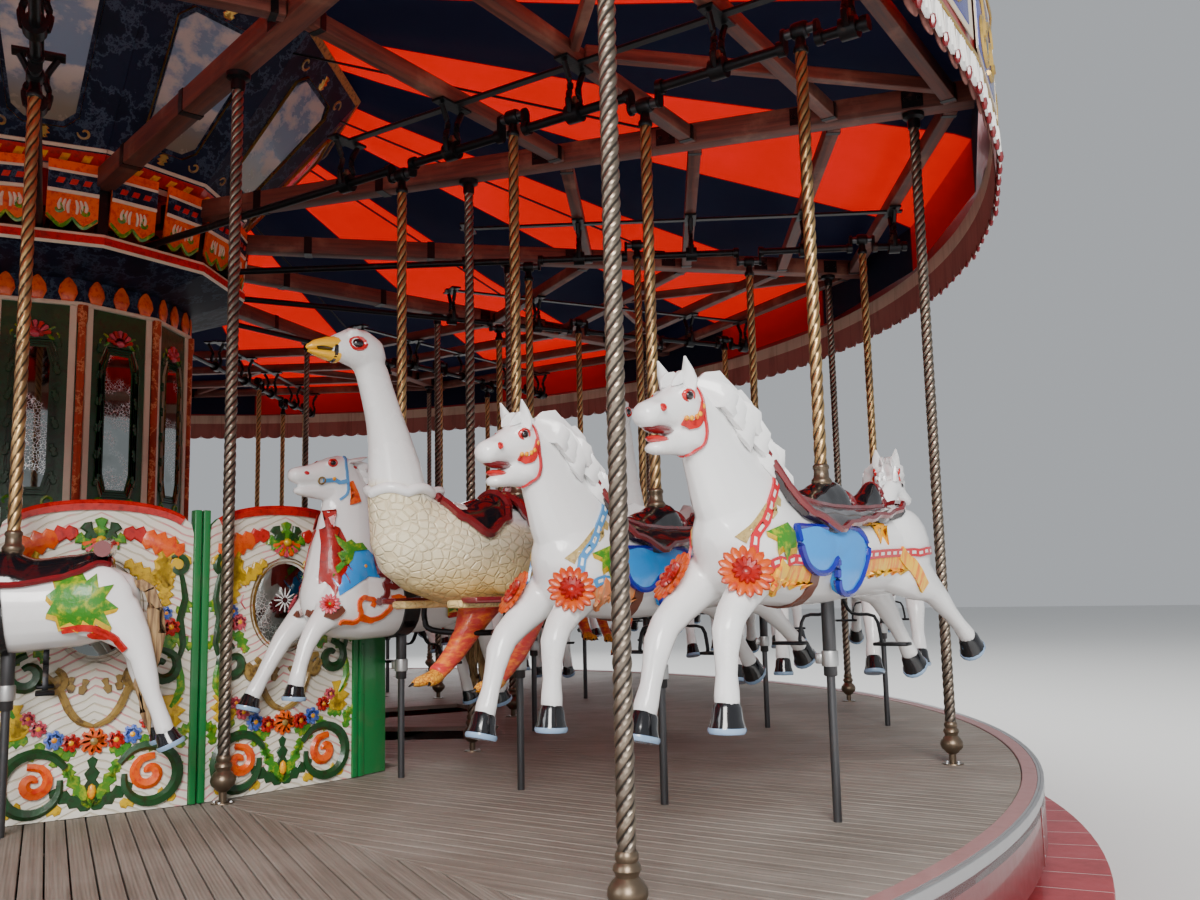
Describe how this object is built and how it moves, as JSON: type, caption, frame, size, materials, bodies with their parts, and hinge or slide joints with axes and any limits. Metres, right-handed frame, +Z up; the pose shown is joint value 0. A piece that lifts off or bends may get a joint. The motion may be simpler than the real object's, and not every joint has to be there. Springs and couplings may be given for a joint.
{
  "type": "fairground carousel",
  "caption": "Round roundabout with four rings of galloping horses and ostriches on twisted rods under a striped cloth roof.",
  "frame": {"origin": "on the floor at the centre of the ride", "axes": "+Z up along the spin axis, +X through the first row of animals"},
  "size_m": [11.76, 11.76, 5.82],
  "materials": {
    "step_paint": "satin red paint",
    "base_paint": "satin dark green paint",
    "deck_boards": "bare weathered boards",
    "rim_paint": "worn red-brown paint",
    "hanger_brass": "aged twisted brass over steel",
    "frame_timber": "worn red-brown stain",
    "crank_iron": "black oiled iron",
    "casing_paint": "carved and painted",
    "cone_paint": "navy painted boards",
    "screen_paint": "carved and painted in many colours",
    "canopy_cloth": "red and navy canvas gores",
    "board_paint": "pink-brown back, carved face",
    "horse_coat": "white enamel",
    "bird_coat": "cream enamel"
  },
  "bodies": {
    "base": {"step_ring": "step_paint", "centre_base": "base_paint"},
    "turntable": {"platform_deck": "deck_boards", "platform_rim": "rim_paint", "platform_hangers": "hanger_brass", "swift_frame": "frame_timber", "crank_gear": "crank_iron", "centre_casing": "casing_paint", "picture_cone": "cone_paint", "well_screens": "screen_paint", "canopy": "canopy_cloth", "rounding_boards": "board_paint"},
    "inner_horses": {"inner_horse_01": "horse_coat", "inner_horse_02": "horse_coat", "inner_horse_03": "horse_coat", "inner_horse_04": "horse_coat", "inner_horse_05": "horse_coat", "inner_horse_06": "horse_coat", "inner_horse_07": "horse_coat", "inner_horse_08": "horse_coat", "inner_horse_09": "horse_coat", "inner_horse_10": "horse_coat", "inner_horse_11": "horse_coat", "inner_horse_12": "horse_coat"},
    "ostriches": {"ostrich_01": "bird_coat", "ostrich_02": "bird_coat", "ostrich_03": "bird_coat", "ostrich_04": "bird_coat", "ostrich_05": "bird_coat", "ostrich_06": "bird_coat", "ostrich_07": "bird_coat", "ostrich_08": "bird_coat", "ostrich_09": "bird_coat", "ostrich_10": "bird_coat", "ostrich_11": "bird_coat"},
    "horses": {"horse_01": "horse_coat", "horse_02": "horse_coat", "horse_03": "horse_coat", "horse_04": "horse_coat", "horse_05": "horse_coat", "horse_06": "horse_coat", "horse_07": "horse_coat", "horse_08": "horse_coat", "horse_09": "horse_coat", "horse_10": "horse_coat", "horse_11": "horse_coat"},
    "outer_horses": {"outer_horse_01": "horse_coat", "outer_horse_02": "horse_coat", "outer_horse_03": "horse_coat", "outer_horse_04": "horse_coat", "outer_horse_05": "horse_coat", "outer_horse_06": "horse_coat", "outer_horse_07": "horse_coat", "outer_horse_08": "horse_coat", "outer_horse_09": "horse_coat", "outer_horse_10": "horse_coat", "outer_horse_11": "horse_coat"}
  },
  "joints": [
    {"name": "turntable_spin", "type": "hinge", "parent": "base", "child": "turntable", "pos_m": [0, 0, 3.6048], "axis": [0, 0, 1], "continuous": true},
    {"name": "inner_horses_gallop", "type": "slide", "parent": "turntable", "child": "inner_horses", "axis": [0, 0, 1], "range_m": [-0.08, 0.16]},
    {"name": "ostriches_gallop", "type": "slide", "parent": "turntable", "child": "ostriches", "axis": [0, 0, 1], "range_m": [-0.19, 0.05]},
    {"name": "horses_gallop", "type": "slide", "parent": "turntable", "child": "horses", "axis": [0, 0, 1], "range_m": [-0.06, 0.18]},
    {"name": "outer_horses_gallop", "type": "slide", "parent": "turntable", "child": "outer_horses", "axis": [0, 0, 1], "range_m": [-0.17, 0.07]}
  ]
}
